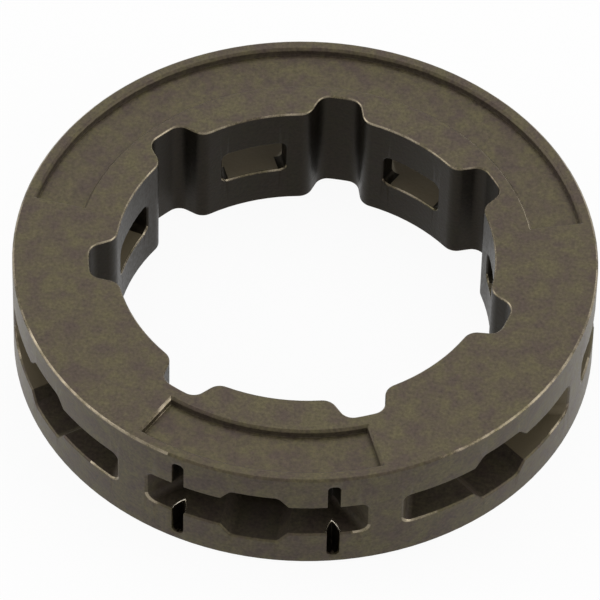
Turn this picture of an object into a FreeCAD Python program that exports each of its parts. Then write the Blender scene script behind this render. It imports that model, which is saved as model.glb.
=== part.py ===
import FreeCAD, Part
import math
import os

import Sketcher

# Driving dimensions in millimetres, angles in degrees
sizes = {
    "tooth_count": 7,
    "rim_diameter": 34.3,
    "thickness": 7.4,
    "rim_chamfer": 0.12,
    "land_diameter": 22.2,
    "groove_depth": 1.55,
    "groove_floor_width": 2.3,
    "groove_mouth_width": 3.3,
    "groove_floor_round": 0.8,
    "land_corner_round": 0.9,
    "bore_chamfer": 0.08,
    "slot_height": 2.3,
    "slot_corner_round": 0.45,
    "slot_mouth_chamfer": 0.1,
    "web_width": 2.05,
    "window_width": 4.0,
    "window_depth": 0.8,
    "window_chamfer": 0.08,
    "pocket_width": 3.95,
    "pocket_flat_width": 2.75,
    "pocket_height": 3.8,
    "pocket_depth": 3.6,
    "pocket_corner_round": 0.45,
    "notch_width": 0.75,
    "notch_depth": 1.0,
    "notch_end_wall": 0.65,
    "notch_end_round": 0.3,
    "notch_angle": 15.4,
    "recess_bore_wall": 0.85,
    "recess_rim_lip": 0.75,
    "recess_depth": 0.5,
    "recess_chamfer": 0.15,
    "size_panel_half_angle": 25.0,
    "name_band_half_angle": 77.4,
    "name_band_turn": 187.0,
}
# How far a cutting profile runs past the face that it breaks through
CUT_MARGIN = 1.0
# How near a point lies to count as on a face
ON_FACE = 1e-4

doc = FreeCAD.newDocument("rim_sprocket")
sheet = doc.addObject("Spreadsheet::Sheet", "sizes")
for row, (alias, value) in enumerate(sizes.items(), start=1):
    sheet.set(f"A{row}", alias)
    sheet.set(f"B{row}", str(value))
    sheet.setAlias(f"B{row}", alias)
doc.recompute()

body = doc.addObject("PartDesign::Body", "Body")
body.Label = "rim_sprocket"
origin = {feature.Role: feature for feature in body.Origin.OriginFeatures}

rim_radius = sizes["rim_diameter"] / 2
land_radius = sizes["land_diameter"] / 2
groove_radius = land_radius + sizes["groove_depth"]
thickness = sizes["thickness"]

# The origin as a place in a sketch
ORIGIN = (-1, 1)


def point(x, y):
    return FreeCAD.Vector(x, y, 0)


def polar(radius, degrees_from_front):
    """A point at an angle from the front, which is the -Y direction."""
    angle = math.radians(degrees_from_front)
    return point(radius * math.sin(angle), -radius * math.cos(angle))


def new_sketch(name, plane, lift=None, turn=None):
    """A sketch on one of the body's planes, lifted along its normal and turned about it."""
    sketch = body.newObject("Sketcher::SketchObject", name)
    sketch.AttachmentSupport = [(origin[plane], "")]
    sketch.MapMode = "FlatFace"
    if turn:
        about_normal = FreeCAD.Rotation(FreeCAD.Vector(0, 0, 1), 1)
        sketch.AttachmentOffset = FreeCAD.Placement(point(0, 0), about_normal)
        sketch.setExpression("AttachmentOffset.Rotation.Angle", turn)
    if lift:
        sketch.setExpression("AttachmentOffset.Base.z", lift)
    return sketch


def draw_loop(sketch, corners, arcs=None):
    """Draws edges through the corners in turn; arcs gives a middle point for each curved edge.

    Returns the edges, and each corner as the edge and end that start there.
    """
    arcs = arcs or {}
    edges, starts, ends = [], [], []
    for index, start in enumerate(corners):
        end = corners[(index + 1) % len(corners)]
        curve = Part.Arc(start, arcs[index], end) if index in arcs else Part.LineSegment(start, end)
        edge = sketch.addGeometry(curve, False)
        first, last = (1, 2) if sketch.getPoint(edge, 1).isEqual(start, ON_FACE) else (2, 1)
        edges.append(edge)
        starts.append((edge, first))
        ends.append((edge, last))
    for index, end in enumerate(ends):
        sketch.addConstraint(Sketcher.Constraint("Coincident", *end, *starts[(index + 1) % len(ends)]))
    return edges, starts


def centre(arc):
    """An arc's centre as a place in its sketch."""
    return arc, 3


def fix(sketch, kind, *places):
    sketch.addConstraint(Sketcher.Constraint(kind, *places))


def on_upright_axis(sketch, corner):
    sketch.addConstraint(Sketcher.Constraint("PointOnObject", *corner, -2))


def mirror_pair(sketch, left, right):
    """Keeps two corners as mirror images across the sketch's upright axis."""
    sketch.addConstraint(Sketcher.Constraint("Symmetric", *left, *right, -2))


def drive(sketch, expression, kind, *places):
    """Adds a sized constraint as drawn, then binds it to the sheet."""
    index = sketch.addConstraint(Sketcher.Constraint(kind, *places))
    sketch.setExpression(f"Constraints[{index}]", expression)


def finish_feature(feature):
    """Recomputes and makes this feature the body's last one."""
    body.Tip = feature
    doc.recompute()
    return feature


def cut(sketch, name, length=None, symmetric=False, towards_normal=False):
    """Pockets a sketch and makes sure that the pocket took material away."""
    doc.recompute()
    before = body.Shape.Volume
    pocket = body.newObject("PartDesign::Pocket", name)
    pocket.Profile = sketch
    pocket.Reversed = towards_normal
    if symmetric:
        pocket.SideType = "Symmetric"
    if length:
        pocket.setExpression("Length", length)
    else:
        pocket.Type = "ThroughAll"
    finish_feature(pocket)
    if body.Shape.Volume >= before:
        raise RuntimeError(f"{name} cuts nothing")
    return pocket


def mirror_across_front(feature, name):
    """Repeats a feature on the other side of the front's middle plane."""
    mirror = body.newObject("PartDesign::Mirrored", name)
    mirror.Originals = [feature]
    mirror.MirrorPlane = (origin["YZ_Plane"], [""])
    return finish_feature(mirror)


def soften(name, kind, size, wanted):
    """Fillets or chamfers every edge of the body that the test picks."""
    base = body.Tip
    numbered = enumerate(base.Shape.Edges, start=1)
    names = [f"Edge{i}" for i, edge in numbered if wanted(edge) and not on_sector_end(edge)]
    feature = body.newObject(f"PartDesign::{kind}", name)
    feature.Base = (base, names)
    feature.setExpression("Radius" if kind == "Fillet" else "Size", size)
    return finish_feature(feature)


def radius_at(place):
    return math.hypot(place.x, place.y)


def along(edge):
    """Points from one end of an edge to the other."""
    return edge.discretize(7)


def on_sector_end(edge):
    """True for an edge in one of the planes where two sectors meet."""
    end = math.pi / sizes["tooth_count"]
    angles = [abs(math.atan2(place.x, -place.y)) for place in along(edge)]
    return all(abs(angle - end) < ON_FACE for angle in angles)


def is_upright(edge):
    """True for a straight edge along Z."""
    low, high = edge.Vertexes[0].Point, edge.Vertexes[-1].Point
    return isinstance(edge.Curve, Part.Line) and math.dist(low[:2], high[:2]) < ON_FACE


def is_level(edge, height):
    """True for an edge that lies in the plane at this height."""
    box = edge.BoundBox
    return abs(box.ZMin - height) < ON_FACE and abs(box.ZMax - height) < ON_FACE


def near(value, target):
    return abs(value - target) < ON_FACE


def on_cylinder(edge, radius):
    """True for an edge that lies on the cylinder of this radius about the bore axis."""
    return all(near(radius_at(place), radius) for place in along(edge))


# Blank: one tooth gap's share of the ring, centred on the front
section = new_sketch("RingSection", "YZ_Plane")
edges, corners = draw_loop(
    section,
    [point(-land_radius, 0), point(-rim_radius, 0), point(-rim_radius, thickness), point(-land_radius, thickness)],
)
for edge, kind in zip(edges, ("Horizontal", "Vertical", "Horizontal", "Vertical")):
    fix(section, kind, edge)
fix(section, "Horizontal", *corners[0], *ORIGIN)
drive(section, "sizes.land_diameter / 2", "DistanceX", *corners[0], *ORIGIN, land_radius)
drive(section, "sizes.rim_diameter / 2", "DistanceX", *corners[1], *ORIGIN, rim_radius)
drive(section, "sizes.thickness", "DistanceY", *corners[1], *corners[2], thickness)
blank = body.newObject("PartDesign::Revolution", "Blank")
blank.Profile = section
blank.ReferenceAxis = (section, ["V_Axis"])
blank.Midplane = True
blank.setExpression("Angle", "360 deg / sizes.tooth_count")
finish_feature(blank)

# Splined bore: tapered grooves half a pitch from the lands, with round corners
mouth, floor = sizes["groove_mouth_width"] / 2, sizes["groove_floor_width"] / 2
mouth_y = -math.sqrt(land_radius**2 - mouth**2)
floor_y = -math.sqrt(groove_radius**2 - floor**2)
void_y = CUT_MARGIN - land_radius
groove = new_sketch("GrooveSection", "XY_Plane", turn="180 deg / sizes.tooth_count")
edges, corners = draw_loop(
    groove,
    [
        point(-floor, floor_y),
        point(floor, floor_y),
        point(mouth, mouth_y),
        point(mouth, void_y),
        point(-mouth, void_y),
        point(-mouth, mouth_y),
    ],
    arcs={0: point(0, -groove_radius)},
)
fix(groove, "Coincident", *centre(edges[0]), *ORIGIN)
drive(groove, "sizes.land_diameter / 2 + sizes.groove_depth", "Radius", edges[0], groove_radius)
drive(groove, "sizes.groove_floor_width", "DistanceX", *corners[0], *corners[1], 2 * floor)
drive(groove, "sizes.groove_mouth_width", "DistanceX", *corners[5], *corners[2], 2 * mouth)
drive(groove, "sizes.land_diameter / 2", "Distance", *ORIGIN, *corners[2], land_radius)
drive(groove, f"sizes.land_diameter / 2 - {CUT_MARGIN}", "DistanceY", *corners[3], *ORIGIN, -void_y)
fix(groove, "Horizontal", *corners[0], *corners[1])
for left, right in ((5, 2), (4, 3)):
    mirror_pair(groove, corners[left], corners[right])
fix(groove, "Vertical", edges[2])
mirror_across_front(cut(groove, "Groove", towards_normal=True), "BothGrooves")
soften(
    "GrooveFloorRounds",
    "Fillet",
    "sizes.groove_floor_round",
    lambda edge: is_upright(edge) and near(radius_at(edge.CenterOfMass), groove_radius),
)
soften(
    "LandCornerRounds",
    "Fillet",
    "sizes.land_corner_round",
    lambda edge: is_upright(edge) and near(radius_at(edge.CenterOfMass), land_radius),
)


def on_end_face(edge):
    """True for an edge in the bottom or the top face."""
    return is_level(edge, 0) or is_level(edge, thickness)


soften(
    "BoreLeadIn",
    "Chamfer",
    "sizes.bore_chamfer",
    lambda edge: on_end_face(edge) and not near(radius_at(edge.Vertexes[0].Point), rim_radius),
)
soften(
    "RimChamfers",
    "Chamfer",
    "sizes.rim_chamfer",
    lambda edge: on_end_face(edge) and near(radius_at(edge.Vertexes[0].Point), rim_radius),
)

# Chain slots: the gaps between the teeth, open at the rim and through a window in each land
web_half_angle = math.degrees(math.asin(sizes["web_width"] / sizes["rim_diameter"]))
gap_half_angle = 180 / sizes["tooth_count"] - web_half_angle
window = sizes["window_width"] / 2
root_y = -(land_radius + sizes["window_depth"])
tip = polar(rim_radius, gap_half_angle)
outside_y = -(rim_radius + CUT_MARGIN)
slot = new_sketch("SlotPlan", "XY_Plane", lift="sizes.thickness / 2")
edges, corners = draw_loop(
    slot,
    [
        point(window, void_y),
        point(window, root_y),
        tip,
        point(tip.x, outside_y),
        point(-tip.x, outside_y),
        point(-tip.x, tip.y),
        point(-window, root_y),
        point(-window, void_y),
    ],
)
for left, right in ((7, 0), (6, 1), (5, 2), (4, 3)):
    mirror_pair(slot, corners[left], corners[right])
for side in (edges[0], edges[2]):
    fix(slot, "Vertical", side)
gap_angle = "(180 deg / sizes.tooth_count - asin(sizes.web_width / sizes.rim_diameter))"
drive(slot, "sizes.window_width", "DistanceX", *corners[6], *corners[1], 2 * window)
drive(slot, "sizes.land_diameter / 2 + sizes.window_depth", "DistanceY", *corners[1], *ORIGIN, -root_y)
drive(slot, f"sizes.land_diameter / 2 - {CUT_MARGIN}", "DistanceY", *corners[0], *ORIGIN, -void_y)
drive(slot, f"sizes.rim_diameter / 2 + {CUT_MARGIN}", "DistanceY", *corners[3], *ORIGIN, -outside_y)
drive(slot, f"sizes.rim_diameter * sin{gap_angle}", "DistanceX", *corners[5], *corners[2], 2 * tip.x)
drive(slot, f"sizes.rim_diameter / 2 * cos{gap_angle}", "DistanceY", *corners[2], *ORIGIN, -tip.y)
cut(slot, "Slot", length="sizes.slot_height", symmetric=True)
slot_levels = [(thickness - sizes["slot_height"]) / 2, (thickness + sizes["slot_height"]) / 2]


def on_slot_side(edge):
    """True for an edge where a flank or a window's side meets the slot's floor or roof."""
    level = any(is_level(edge, height) for height in slot_levels)
    return level and not on_cylinder(edge, rim_radius) and not on_cylinder(edge, land_radius)


soften("SlotCornerRounds", "Fillet", "sizes.slot_corner_round", on_slot_side)

# Clearing pockets: an eight-sided opening that widens the middle of each slot
wide, flat = sizes["pocket_width"] / 2, sizes["pocket_flat_width"] / 2
waist, tall = sizes["slot_height"] / 2, sizes["pocket_height"] / 2
mid = thickness / 2
pocket = new_sketch("PocketSection", "XZ_Plane", lift="sizes.rim_diameter / 2 - sizes.pocket_depth")
edges, corners = draw_loop(
    pocket,
    [
        point(flat, mid - tall),
        point(wide, mid - waist),
        point(wide, mid + waist),
        point(flat, mid + tall),
        point(-flat, mid + tall),
        point(-wide, mid + waist),
        point(-wide, mid - waist),
        point(-flat, mid - tall),
    ],
)
for left, right in ((7, 0), (6, 1), (5, 2), (4, 3)):
    mirror_pair(pocket, corners[left], corners[right])
fix(pocket, "Vertical", edges[1])
fix(pocket, "Vertical", *corners[0], *corners[3])
drive(pocket, "sizes.pocket_width", "DistanceX", *corners[6], *corners[1], 2 * wide)
drive(pocket, "sizes.pocket_flat_width", "DistanceX", *corners[7], *corners[0], 2 * flat)
drive(pocket, "(sizes.thickness - sizes.slot_height) / 2", "DistanceY", *ORIGIN, *corners[1], mid - waist)
drive(pocket, "sizes.slot_height", "DistanceY", *corners[1], *corners[2], 2 * waist)
drive(pocket, "(sizes.thickness - sizes.pocket_height) / 2", "DistanceY", *ORIGIN, *corners[0], mid - tall)
drive(pocket, "sizes.pocket_height", "DistanceY", *corners[0], *corners[3], 2 * tall)
pocket_length = f"sizes.pocket_depth + {CUT_MARGIN}"
cut(pocket, "ClearingPocket", length=pocket_length, towards_normal=True)
soften(
    "PocketCornerRounds",
    "Fillet",
    "sizes.pocket_corner_round",
    lambda edge: all(near(abs(place.x), flat) and near(abs(place.z - mid), tall) for place in along(edge)),
)


# Soft edges left by the casting, at the slot's mouth and its window
def between_end_faces(edge):
    """True for an edge clear of both end faces and their chamfers."""
    margin = sizes["rim_chamfer"] + ON_FACE
    return edge.BoundBox.ZMin > margin and edge.BoundBox.ZMax < thickness - margin


soften(
    "SlotMouthChamfers",
    "Chamfer",
    "sizes.slot_mouth_chamfer",
    lambda edge: between_end_faces(edge) and on_cylinder(edge, rim_radius),
)
soften(
    "WindowChamfers",
    "Chamfer",
    "sizes.window_chamfer",
    lambda edge: between_end_faces(edge) and on_cylinder(edge, land_radius),
)

# Whole ring: the finished sector repeated round the bore axis
ring = body.newObject("PartDesign::PolarPattern", "Ring")
ring.TransformMode = "Whole shape"
ring.Axis = (origin["Z_Axis"], [""])
ring.Angle = 360
ring.setExpression("Occurrences", "sizes.tooth_count")
finish_feature(ring)

# Marking recesses: a short panel at the front and a long band round the back, sunk in the top face
inner, outer = groove_radius + sizes["recess_bore_wall"], rim_radius - sizes["recess_rim_lip"]
inner_size = "sizes.land_diameter / 2 + sizes.groove_depth + sizes.recess_bore_wall"
outer_size = "sizes.rim_diameter / 2 - sizes.recess_rim_lip"
for name, half_angle, turn in (
    ("SizePanel", "size_panel_half_angle", None),
    ("NameBand", "name_band_half_angle", "sizes.name_band_turn"),
):
    half = sizes[half_angle]
    recess = new_sketch(f"{name}Outline", "XY_Plane", lift="sizes.thickness", turn=turn)
    edges, corners = draw_loop(
        recess,
        [polar(outer, -half), polar(outer, half), polar(inner, half), polar(inner, -half)],
        arcs={0: polar(outer, 0), 2: polar(inner, 0)},
    )
    for arc, size, radius in ((edges[0], outer_size, outer), (edges[2], inner_size, inner)):
        fix(recess, "Coincident", *centre(arc), *ORIGIN)
        drive(recess, size, "Radius", arc, radius)
    for side in (edges[1], edges[3]):
        fix(recess, "PointOnObject", *ORIGIN, side)
    fix(recess, "Horizontal", *corners[0], *corners[1])
    drive(recess, f"2 deg * sizes.{half_angle}", "Angle", edges[0], math.radians(2 * half))
    cut(recess, name, length="sizes.recess_depth")


def round_a_recess(edge):
    """True for an edge of a recess in the top face."""
    radii = [radius_at(place) for place in along(edge)]
    return is_level(edge, thickness) and min(radii) > inner - ON_FACE and max(radii) < outer + ON_FACE


soften("RecessChamfers", "Chamfer", "sizes.recess_chamfer", round_a_recess)

# Wear notches: a pair of upright grooves, pointed inwards, across both lips of the front slot
notch_half = sizes["notch_width"] / 2
apex_y = sizes["notch_depth"] - rim_radius
side_radius = (sizes["notch_depth"] ** 2 + notch_half**2) / sizes["notch_width"]
side_angle = math.asin(sizes["notch_depth"] / side_radius) / 2
side_middle = point(
    notch_half - side_radius + side_radius * math.cos(side_angle),
    side_radius * math.sin(side_angle) - rim_radius,
)
notch = new_sketch("NotchPlan", "XY_Plane", lift="sizes.thickness / 2", turn="sizes.notch_angle")
edges, corners = draw_loop(
    notch,
    [
        point(0, apex_y),
        point(notch_half, -rim_radius),
        point(notch_half, outside_y),
        point(-notch_half, outside_y),
        point(-notch_half, -rim_radius),
    ],
    arcs={0: side_middle, 4: point(-side_middle.x, side_middle.y)},
)
on_upright_axis(notch, corners[0])
for left, right in ((4, 1), (3, 2)):
    mirror_pair(notch, corners[left], corners[right])
fix(notch, "Vertical", edges[1])
for arc, mouth in ((edges[0], corners[1]), (edges[4], corners[4])):
    fix(notch, "Horizontal", *centre(arc), *mouth)
drive(notch, "sizes.rim_diameter / 2 - sizes.notch_depth", "DistanceY", *corners[0], *ORIGIN, -apex_y)
drive(notch, "sizes.rim_diameter / 2", "DistanceY", *corners[1], *ORIGIN, rim_radius)
drive(notch, "sizes.notch_width", "DistanceX", *corners[4], *corners[1], 2 * notch_half)
drive(notch, f"sizes.rim_diameter / 2 + {CUT_MARGIN}", "DistanceY", *corners[2], *ORIGIN, -outside_y)
notch_height = "sizes.thickness - 2 * sizes.notch_end_wall"
right_notch = cut(notch, "RightNotch", length=notch_height, symmetric=True)
mirror_across_front(right_notch, "BothNotches")


def round_a_notch_end(edge):
    """True for an edge between a notch's side and its end."""
    end_wall = sizes["notch_end_wall"]
    at_end = is_level(edge, end_wall) or is_level(edge, thickness - end_wall)
    return at_end and not on_cylinder(edge, rim_radius)


soften("NotchEndRounds", "Fillet", "sizes.notch_end_round", round_a_notch_end)

doc.recompute()
for item in doc.Objects:
    if "Invalid" in item.State or "Error" in item.State:
        raise RuntimeError(f"{item.Name} failed: {item.getStatusString()}")
shape = body.Shape
if shape.isNull() or not shape.isValid() or len(shape.Solids) != 1:
    raise RuntimeError("the sprocket is not one valid solid")
os.makedirs("parts", exist_ok=True)
shape.exportStep(f"parts/{body.Label}.step")
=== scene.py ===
import math

import bpy
from mathutils import Matrix, Vector


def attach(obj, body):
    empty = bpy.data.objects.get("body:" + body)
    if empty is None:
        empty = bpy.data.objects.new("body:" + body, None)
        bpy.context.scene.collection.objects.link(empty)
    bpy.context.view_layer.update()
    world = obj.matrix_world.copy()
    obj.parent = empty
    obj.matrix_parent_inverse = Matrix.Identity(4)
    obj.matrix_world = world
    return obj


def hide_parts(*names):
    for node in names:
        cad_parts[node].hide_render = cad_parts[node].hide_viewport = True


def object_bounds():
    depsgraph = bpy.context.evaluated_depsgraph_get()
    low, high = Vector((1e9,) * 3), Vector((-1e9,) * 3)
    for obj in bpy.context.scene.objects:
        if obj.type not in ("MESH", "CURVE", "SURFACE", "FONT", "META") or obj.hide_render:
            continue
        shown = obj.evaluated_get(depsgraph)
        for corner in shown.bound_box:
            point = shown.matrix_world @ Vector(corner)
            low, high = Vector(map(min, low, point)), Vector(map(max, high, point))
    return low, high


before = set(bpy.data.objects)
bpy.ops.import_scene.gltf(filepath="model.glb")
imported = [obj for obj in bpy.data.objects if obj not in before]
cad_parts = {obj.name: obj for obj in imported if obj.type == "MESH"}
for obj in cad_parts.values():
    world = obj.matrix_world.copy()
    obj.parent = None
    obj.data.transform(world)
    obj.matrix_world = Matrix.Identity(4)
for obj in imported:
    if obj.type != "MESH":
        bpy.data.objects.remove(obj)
cad_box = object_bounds()


# Rim sprocket
# One investment-cast steel ring, hardened and blackened, which slides on the splined hub of a clutch drum.
# Casting leaves its edges soft, and tumbling rubs some edges through to lighter steel. The bore, notches,
# slots, pockets and recess walls are painted darker as shade, and the edges turned to the side lamps are
# painted lighter as glints.
rim_radius, height = cad_box[1].y, cad_box[1].z
MERGE_M = 0.000002
FLAT_WITHIN = math.radians(0.5)

bpy.ops.object.select_all(action="DESELECT")
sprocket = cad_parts["rim_sprocket"].copy()
sprocket.data = sprocket.data.copy()
sprocket.name = "sprocket_casting"
sprocket.parent = None
for key in list(sprocket.keys()):
    del sprocket[key]
bpy.context.scene.collection.objects.link(sprocket)
sprocket.select_set(True)
bpy.context.view_layer.objects.active = sprocket
sprocket.data.materials.clear()

bpy.ops.object.mode_set(mode="EDIT")
bpy.ops.mesh.select_all(action="SELECT")
bpy.ops.mesh.customdata_custom_splitnormals_clear()
bpy.ops.mesh.remove_doubles(threshold=MERGE_M)
bpy.ops.mesh.dissolve_limited(angle_limit=FLAT_WITHIN)
bpy.ops.mesh.select_all(action="DESELECT")
bpy.ops.object.mode_set(mode="OBJECT")

# The chain has worn the edges where the front slot's floor meets its two notches
SLOT_FLOOR_M, SLOT_ROOF_M = 0.00255, 0.00485
NOTCH_ANGLE, NOTCH_REACH = math.radians(15.4), math.radians(1.5)
NOTCH_DEPTH_M = 0.00105
NOTCH_WEAR_M = 0.00009
ON_FACE_M = 0.00001


def at_notch(place):
    """True for a place within the width and depth of one of the front notches."""
    turn = abs(math.atan2(place.x, -place.y))
    return abs(turn - NOTCH_ANGLE) < NOTCH_REACH and math.hypot(place.x, place.y) > rim_radius - NOTCH_DEPTH_M


for edge in sprocket.data.edges:
    ends = [sprocket.data.vertices[index].co for index in edge.vertices]
    edge.select = all(at_notch(end) and abs(end.z - SLOT_FLOOR_M) < ON_FACE_M for end in ends)
bpy.ops.object.mode_set(mode="EDIT")
bpy.ops.mesh.select_mode(type="EDGE")
bpy.ops.mesh.bevel(offset=NOTCH_WEAR_M, segments=2, affect="EDGES")
bpy.ops.object.mode_set(mode="OBJECT")

# Every other edge is a little soft
EDGE_ROUND_M = 0.000025
ROUNDED_ABOVE = math.radians(22)
SMOOTH_BELOW = math.radians(55)
rounding = sprocket.modifiers.new("edge rounding", "BEVEL")
rounding.width = EDGE_ROUND_M
rounding.segments = 2
rounding.limit_method = "ANGLE"
rounding.angle_limit = ROUNDED_ABOVE
rounding.use_clamp_overlap = False
bpy.ops.object.modifier_apply(modifier=rounding.name)
bpy.ops.object.shade_smooth_by_angle(angle=SMOOTH_BELOW)
evening = sprocket.modifiers.new("flat faces stay flat", "WEIGHTED_NORMAL")
evening.keep_sharp = True
bpy.ops.object.modifier_apply(modifier=evening.name)

# The coat's patterns: blast grain is finer than a pixel, so it is drawn at about 0.2 mm to show
MOTTLE_MM, GRAIN_MM, WEAR_MM = 1.1, 0.2, 2.2
MOTTLE_HEIGHT_M, GRAIN_HEIGHT_M = 0.00004, 0.00002
# Painted light in the slots: darkest in front of the first depth, palest beyond the second
SHADED_BEFORE_Y_M, SIDE_LIT_AFTER_Y_M = -0.72 * rim_radius, -0.5 * rim_radius


def linear(hex_colour):
    """An sRGB hex colour as linear red, green, blue and alpha."""
    parts = [int(hex_colour[i : i + 2], 16) / 255 for i in (1, 3, 5)]
    return [c / 12.92 if c <= 0.04045 else ((c + 0.055) / 1.055) ** 2.4 for c in parts] + [1]


def per_metre(millimetres):
    """The scale at which a texture repeats about once in this length."""
    return 1000 / millimetres


def add_node(material, kind, settings=None, links=None):
    """Adds a node, sets its fields and inputs, and links inputs to other nodes' outputs."""
    node = material.node_tree.nodes.new(kind)
    for name, value in (settings or {}).items():
        if isinstance(name, str) and hasattr(node, name):
            setattr(node, name, value)
        else:
            node.inputs[name].default_value = value
    for name, (source, output) in (links or {}).items():
        material.node_tree.links.new(source.outputs[output], node.inputs[name])
    return node


def blackened_steel(name, olive, mauve, metallic, roughness, worn=None, painted_side_light=None):
    """Cast steel under a phosphate coat, mottled between two colours.

    Where a colour worn is given, steel of that colour shows through in patches, and where a colour
    painted_side_light is given, the coat turns to it away from the front of the ring as painted light,
    leaving painted shade at the front.
    """
    material = bpy.data.materials.new(name)
    material.use_nodes = True
    material.node_tree.nodes.clear()
    place = add_node(material, "ShaderNodeTexCoord")
    mottle = add_node(
        material,
        "ShaderNodeTexNoise",
        {"Scale": per_metre(MOTTLE_MM), "Detail": 4, "Roughness": 0.65},
        {"Vector": (place, "Object")},
    )
    tint = add_node(material, "ShaderNodeValToRGB", None, {"Fac": (mottle, "Fac")})
    tint.color_ramp.elements[0].position = 0.36
    tint.color_ramp.elements[0].color = linear(olive)
    tint.color_ramp.elements[1].position = 0.64
    tint.color_ramp.elements[1].color = linear(mauve)
    grain = add_node(
        material,
        "ShaderNodeTexNoise",
        {"Scale": per_metre(GRAIN_MM), "Detail": 2, "Roughness": 0.6},
        {"Vector": (place, "Object")},
    )
    speckle = add_node(
        material,
        "ShaderNodeMapRange",
        {"From Min": 0.25, "From Max": 0.75, "To Min": 0.65, "To Max": 1.35},
        {"Value": (grain, "Fac")},
    )
    coloured = add_node(
        material,
        "ShaderNodeVectorMath",
        {"operation": "SCALE"},
        {"Vector": (tint, "Color"), "Scale": (speckle, "Result")},
    )
    colour = (coloured, "Vector")
    if painted_side_light:
        # Painted light: darker at the front of the ring, paler further round where the side lamps fall
        across = add_node(material, "ShaderNodeSeparateXYZ", None, {"Vector": (place, "Object")})
        side_light_share = add_node(
            material,
            "ShaderNodeMapRange",
            {"interpolation_type": "SMOOTHSTEP", "From Min": SHADED_BEFORE_Y_M, "From Max": SIDE_LIT_AFTER_Y_M},
            {"Value": (across, "Y")},
        )
        side_lit_coat = add_node(
            material,
            "ShaderNodeMix",
            {"data_type": "VECTOR", 5: linear(painted_side_light)[:3]},
            {0: (side_light_share, "Result"), 4: colour},
        )
        colour = (side_lit_coat, 1)
    if worn:
        # Wear comes and goes along an edge every few millimetres
        rubbing = add_node(
            material,
            "ShaderNodeTexNoise",
            {"Scale": per_metre(WEAR_MM), "Detail": 3, "Roughness": 0.6},
            {"Vector": (place, "Object")},
        )
        patches = add_node(
            material, "ShaderNodeMapRange", {"From Min": 0.42, "From Max": 0.58}, {"Value": (rubbing, "Fac")}
        )
        bared = add_node(
            material,
            "ShaderNodeMix",
            {"data_type": "VECTOR", 5: linear(worn)[:3]},
            {0: (patches, "Result"), 4: colour},
        )
        colour = (bared, 1)
    satin = add_node(
        material,
        "ShaderNodeMapRange",
        {"From Min": 0.3, "From Max": 0.7, "To Min": roughness - 0.06, "To Max": roughness + 0.06},
        {"Value": (grain, "Fac")},
    )
    wave = add_node(
        material,
        "ShaderNodeBump",
        {"Strength": 0.4, "Distance": MOTTLE_HEIGHT_M},
        {"Height": (mottle, "Fac")},
    )
    skin = add_node(
        material,
        "ShaderNodeBump",
        {"Strength": 0.5, "Distance": GRAIN_HEIGHT_M},
        {"Height": (grain, "Fac"), "Normal": (wave, "Normal")},
    )
    coat = add_node(
        material,
        "ShaderNodeBsdfPrincipled",
        {"Metallic": metallic, "Specular IOR Level": 0.25},
        {"Base Color": colour, "Roughness": (satin, "Result"), "Normal": (skin, "Normal")},
    )
    add_node(material, "ShaderNodeOutputMaterial", None, {"Surface": (coat, "BSDF")})
    return material


finishes = sprocket.data.materials
# Tumbled outside: a dull olive-brown sheen
finishes.append(blackened_steel("tumbled_blackened_steel", "#575039", "#4c4138", 0.4, 0.42))
# Rubbed edges: the coat worn through here and there, so the steel below shows lighter and smoother. The
# lighter colour is also a painted glint, put on the edges that face the side lamps.
finishes.append(blackened_steel("worn_and_painted_glint_steel", "#5f5842", "#564b41", 0.7, 0.26, worn="#938874"))
# Bore and notches: painted shade, a darker and duller coat where the ring shades its own hollows
finishes.append(blackened_steel("painted_deep_shade_steel", "#221e14", "#231d16", 0.8, 0.45))
# Pockets and recess walls: painted shade, a darker and duller coat where these hollows lie in shade
finishes.append(blackened_steel("painted_hollow_shade_steel", "#4d4636", "#453b33", 0.15, 0.6))
# Slots: painted shade as dark and dull as the pockets at the front, turning to paler painted light further
# round towards the side lamps
finishes.append(
    blackened_steel("painted_slot_shade_steel", "#4d4636", "#453b33", 0.15, 0.6, painted_side_light="#6f6550")
)
# Notch edges: a near-white painted glint where the notches meet the slot's floor
finishes.append(blackened_steel("painted_notch_glint_steel", "#c4bdae", "#b8b0a2", 1.0, 0.25))
TUMBLED, WORN_AND_GLINT, DEEP_SHADE, HOLLOW_SHADE, SLOT_SHADE, NOTCH_GLINT = range(6)

# Each face gets its finish, with its painted shade and painted glints, by its place and the way that it faces
SLOT_COUNT = 7
SLOT_PITCH = 2 * math.pi / SLOT_COUNT
# How far from a slot's middle its ends begin, and how high their lower corners reach
SLOT_END = math.radians(15.6)
SLOT_CORNER_M = 0.0007
# How far to the side of the front's middle the slot ends, the band's inner edge and the rim's right carry a
# painted glint
GLINT_END_M, GLINT_BAND_M, GLINT_RIM_M = 0.32 * rim_radius, 0.42 * rim_radius, 0.59 * rim_radius
# Radii just outside the lands, the groove floors and the band's inner edge
LAND_FACE_M, BORE_WALL_M, BAND_EDGE_M = 0.01125, 0.0129, 0.0138
# Depths just below the edge chamfers and the recess floors, and the play at a slot's floor and roof
EDGE_BREAK_M, RECESS_DEPTH_M, SLOT_PLAY_M = 0.00018, 0.00052, 0.0001
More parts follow.
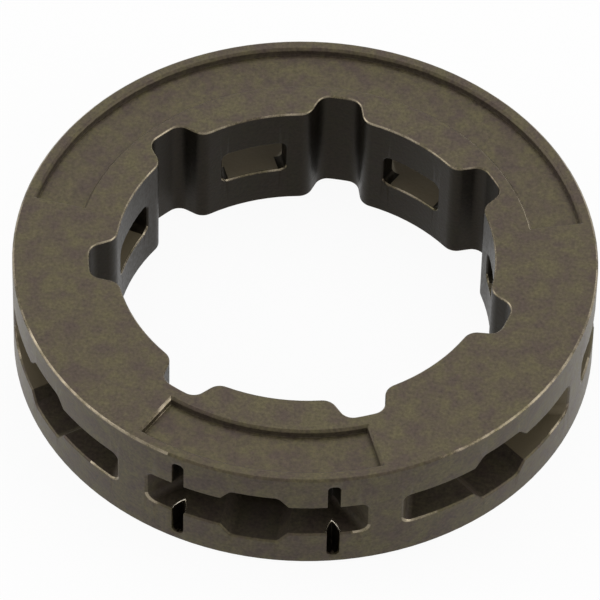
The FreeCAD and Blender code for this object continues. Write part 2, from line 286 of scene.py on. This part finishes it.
# The share of a normal along a direction where it points wholly that way, and hardly so
WHOLLY, HARDLY = 0.97, 0.2
for face in sprocket.data.polygons:
    radius = math.hypot(face.center.x, face.center.y)
    outward = (face.center.x * face.normal.x + face.center.y * face.normal.y) / radius
    from_slot = (math.atan2(face.center.x, -face.center.y) + SLOT_PITCH / 2) % SLOT_PITCH - SLOT_PITCH / 2
    depth = min(face.center.z, height - face.center.z)
    level = abs(face.normal.z) >= WHOLLY
    slanted = not level and abs(face.normal.z) > HARDLY
    at_rim = radius > rim_radius - EDGE_BREAK_M
    at_side = abs(face.center.x) > GLINT_END_M or face.center.y > 0
    at_front = -GLINT_END_M < face.center.x < GLINT_RIM_M and face.center.y < 0
    left_end = abs(outward) < HARDLY and face.normal.x > HARDLY
    in_slot = SLOT_FLOOR_M - SLOT_PLAY_M < face.center.z < SLOT_ROOF_M + SLOT_PLAY_M
    # Painted shade in the slots, darkest at the front
    finish = SLOT_SHADE
    if depth < EDGE_BREAK_M:
        at_band_edge = outward > HARDLY and radius < BAND_EDGE_M and face.center.x > GLINT_BAND_M
        # Bore chamfers are rubbed lighter as wear and a painted glint. The rim chamfers away from the front,
        # the band's inner edge at the right and the panel's left end get a painted glint.
        wear_and_glint_here = radius < BORE_WALL_M or at_rim and not at_front or at_band_edge or left_end
        finish = WORN_AND_GLINT if slanted and wear_and_glint_here else TUMBLED
    elif depth < RECESS_DEPTH_M and not at_rim:
        # Recess walls get painted shade, with a painted glint at the panel's left end
        finish = TUMBLED if level else WORN_AND_GLINT if left_end else HOLLOW_SHADE
    elif at_rim:
        # The lower corners of the slot ends at the sides carry a painted glint
        low_end = abs(from_slot) > SLOT_END and face.center.z < SLOT_FLOOR_M + SLOT_CORNER_M
        finish = WORN_AND_GLINT if outward < WHOLLY and low_end and at_side else TUMBLED
    # The upward chamfers at the land faces are rubbed lighter, as wear and a painted glint
    elif radius < LAND_FACE_M and slanted and face.normal.z > 0:
        finish = WORN_AND_GLINT
    # Painted glint where the notches meet the slot's floor
    elif slanted and at_notch(face.center) and 0 < SLOT_FLOOR_M - face.center.z < NOTCH_WEAR_M:
        finish = NOTCH_GLINT
    # Painted shade on the bore walls
    elif radius < BORE_WALL_M and outward < HARDLY:
        finish = DEEP_SHADE
    # Painted shade in the notches, and in the pockets
    elif not in_slot:
        finish = DEEP_SHADE if at_notch(face.center) else HOLLOW_SHADE
    face.material_index = finish

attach(sprocket, "root")
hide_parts("rim_sprocket")


# Floor
# A sheet of matt white board under the sprocket, wide enough to fill every view.
# It looks white to the eye, and keeps a faint shadow.
FLOOR_SIZE_M = 4.0
FLOOR_DROP_M = 0.00002
GLOW_SHARE, GLOW_STRENGTH = 0.92, 1.02


def seen_directly(material):
    """1 for what the eye sees straight on, in a reflection or through glass, and 0 for light that spreads."""
    path = add_node(material, "ShaderNodeLightPath")
    seen = add_node(
        material,
        "ShaderNodeMath",
        {"operation": "ADD", "use_clamp": True},
        {0: (path, "Is Camera Ray"), 1: (path, "Is Glossy Ray")},
    )
    return add_node(
        material,
        "ShaderNodeMath",
        {"operation": "MAXIMUM"},
        {0: (seen, "Value"), 1: (path, "Is Transmission Ray")},
    )


bpy.ops.object.select_all(action="DESELECT")
bpy.ops.mesh.primitive_plane_add(size=FLOOR_SIZE_M, location=(0, 0, -FLOOR_DROP_M))
floor = bpy.context.object
floor.name = "white_board"
# White board: even and matt, with no sheen of its own
board = bpy.data.materials.new("white_board")
board.use_nodes = True
board.node_tree.nodes.clear()
share = add_node(
    board, "ShaderNodeMath", {"operation": "MULTIPLY", 1: GLOW_SHARE}, {0: (seen_directly(board), "Value")}
)
paper = add_node(board, "ShaderNodeBsdfDiffuse", {"Color": linear("#f4f4f4")})
glow = add_node(board, "ShaderNodeEmission", {"Color": linear("#ffffff"), "Strength": GLOW_STRENGTH})
lit = add_node(
    board,
    "ShaderNodeMixShader",
    None,
    {"Fac": (share, "Value"), 1: (paper, "BSDF"), 2: (glow, "Emission")},
)
add_node(board, "ShaderNodeOutputMaterial", None, {"Surface": (lit, "Shader")})
floor.data.materials.append(board)


# Light and camera
# A large soft box overhead, a square one at each side, a low wide one at the back, and a pale room all round.
# The camera stands where the picture was taken from, with a long lens.
MIDDLE = Vector((0, 0, height / 2))


def soft_box(name, place_m, size_m, power_w):
    """An area lamp that faces the sprocket."""
    lamp = bpy.data.lights.new(name, "AREA")
    lamp.shape = "RECTANGLE"
    lamp.size, lamp.size_y = size_m
    lamp.energy = power_w
    holder = bpy.data.objects.new(name, lamp)
    holder.location = place_m
    holder.rotation_euler = (MIDDLE - Vector(place_m)).to_track_quat("-Z", "Y").to_euler()
    bpy.context.scene.collection.objects.link(holder)


soft_box("overhead_box", (0.0, 0.15, 0.37), (0.40, 0.40), 0.5)
soft_box("left_box", (-0.40, -0.04, 0.18), (0.28, 0.28), 0.5)
soft_box("right_box", (0.40, -0.04, 0.18), (0.28, 0.28), 0.5)
soft_box("back_box", (0.0, 0.40, 0.10), (0.80, 0.12), 0.45)

ROOM_LIGHT, ROOM_AS_SEEN = 0.25, 1.0
world = bpy.data.worlds.new("pale_room")
world.use_nodes = True
world.node_tree.nodes.clear()
brightness = add_node(
    world,
    "ShaderNodeMapRange",
    {"To Min": ROOM_LIGHT, "To Max": ROOM_AS_SEEN},
    {"Value": (seen_directly(world), "Value")},
)
room = add_node(
    world, "ShaderNodeBackground", {"Color": linear("#ffffff")}, {"Strength": (brightness, "Result")}
)
add_node(world, "ShaderNodeOutputWorld", None, {"Surface": (room, "Background")})
bpy.context.scene.world = world
bpy.context.scene.view_settings.view_transform = "Standard"

CAMERA_AZIMUTH_DEG, CAMERA_ELEVATION_DEG, CAMERA_ROLL_DEG = 8.6, 49.08, 1.52
CAMERA_DISTANCE_M = 0.4006
SENSOR_MM, LENS_MM = 36, 407.99
PICTURE_PX = 600
SHIFT_X_PX, SHIFT_Y_PX = -4.29, -4.16
azimuth, elevation = math.radians(CAMERA_AZIMUTH_DEG), math.radians(CAMERA_ELEVATION_DEG)
back = Vector(
    (math.sin(azimuth) * math.cos(elevation), -math.cos(azimuth) * math.cos(elevation), math.sin(elevation))
)
lens = bpy.data.cameras.new("camera")
lens.sensor_width = SENSOR_MM
lens.lens = LENS_MM
lens.shift_x, lens.shift_y = SHIFT_X_PX / PICTURE_PX, SHIFT_Y_PX / PICTURE_PX
lens.clip_start, lens.clip_end = 0.01, 10
camera = bpy.data.objects.new("camera", lens)
camera.matrix_world = (
    Matrix.Translation(MIDDLE + back * CAMERA_DISTANCE_M)
    @ (-back).to_track_quat("-Z", "Y").to_matrix().to_4x4()
    @ Matrix.Rotation(math.radians(CAMERA_ROLL_DEG), 4, "Z")
)
bpy.context.scene.collection.objects.link(camera)
bpy.context.scene.camera = camera
